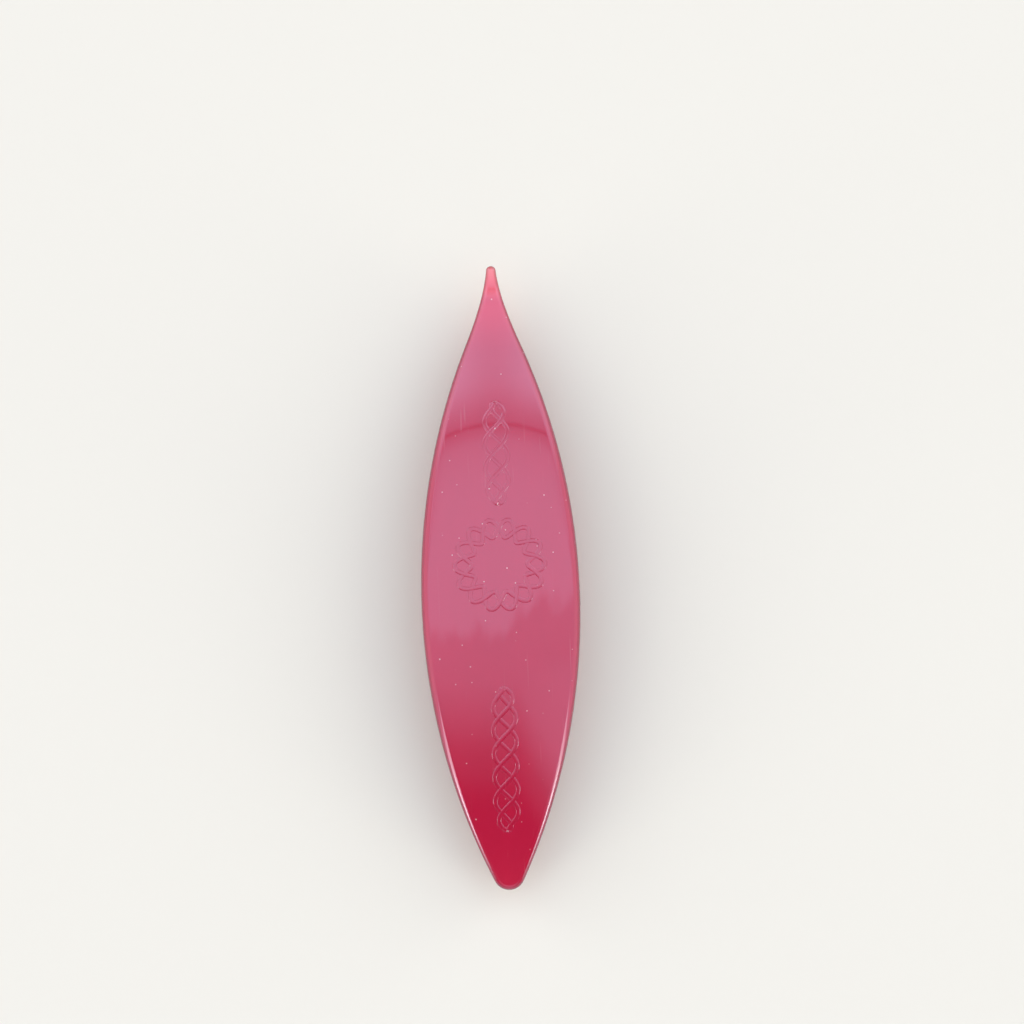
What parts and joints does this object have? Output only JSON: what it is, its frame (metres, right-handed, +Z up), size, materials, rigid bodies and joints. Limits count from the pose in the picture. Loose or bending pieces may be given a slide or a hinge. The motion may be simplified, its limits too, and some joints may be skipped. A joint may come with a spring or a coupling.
{
  "type": "tatting shuttle",
  "caption": "Post shuttle for tatting: two crowned, boat-shaped blades on a small oval post with a cross hole for the thread, one blade drawn out into a pick.",
  "frame": {"origin": "on the surface the shuttle lies on, under the middle of its length and width", "axes": "+Y along the shuttle to the point of the pick, +X across the blades, +Z up through both blades and the post"},
  "size_m": [0.0178, 0.07, 0.01],
  "materials": {
    "blade_plastic": "frosted cherry plastic, moulded and polished, slightly translucent",
    "post_plastic": "the same cherry plastic, satin as moulded"
  },
  "bodies": {
    "root": {"upper_blade": "blade_plastic", "lower_blade": "blade_plastic", "centre_post": "post_plastic"}
  },
  "joints": []
}
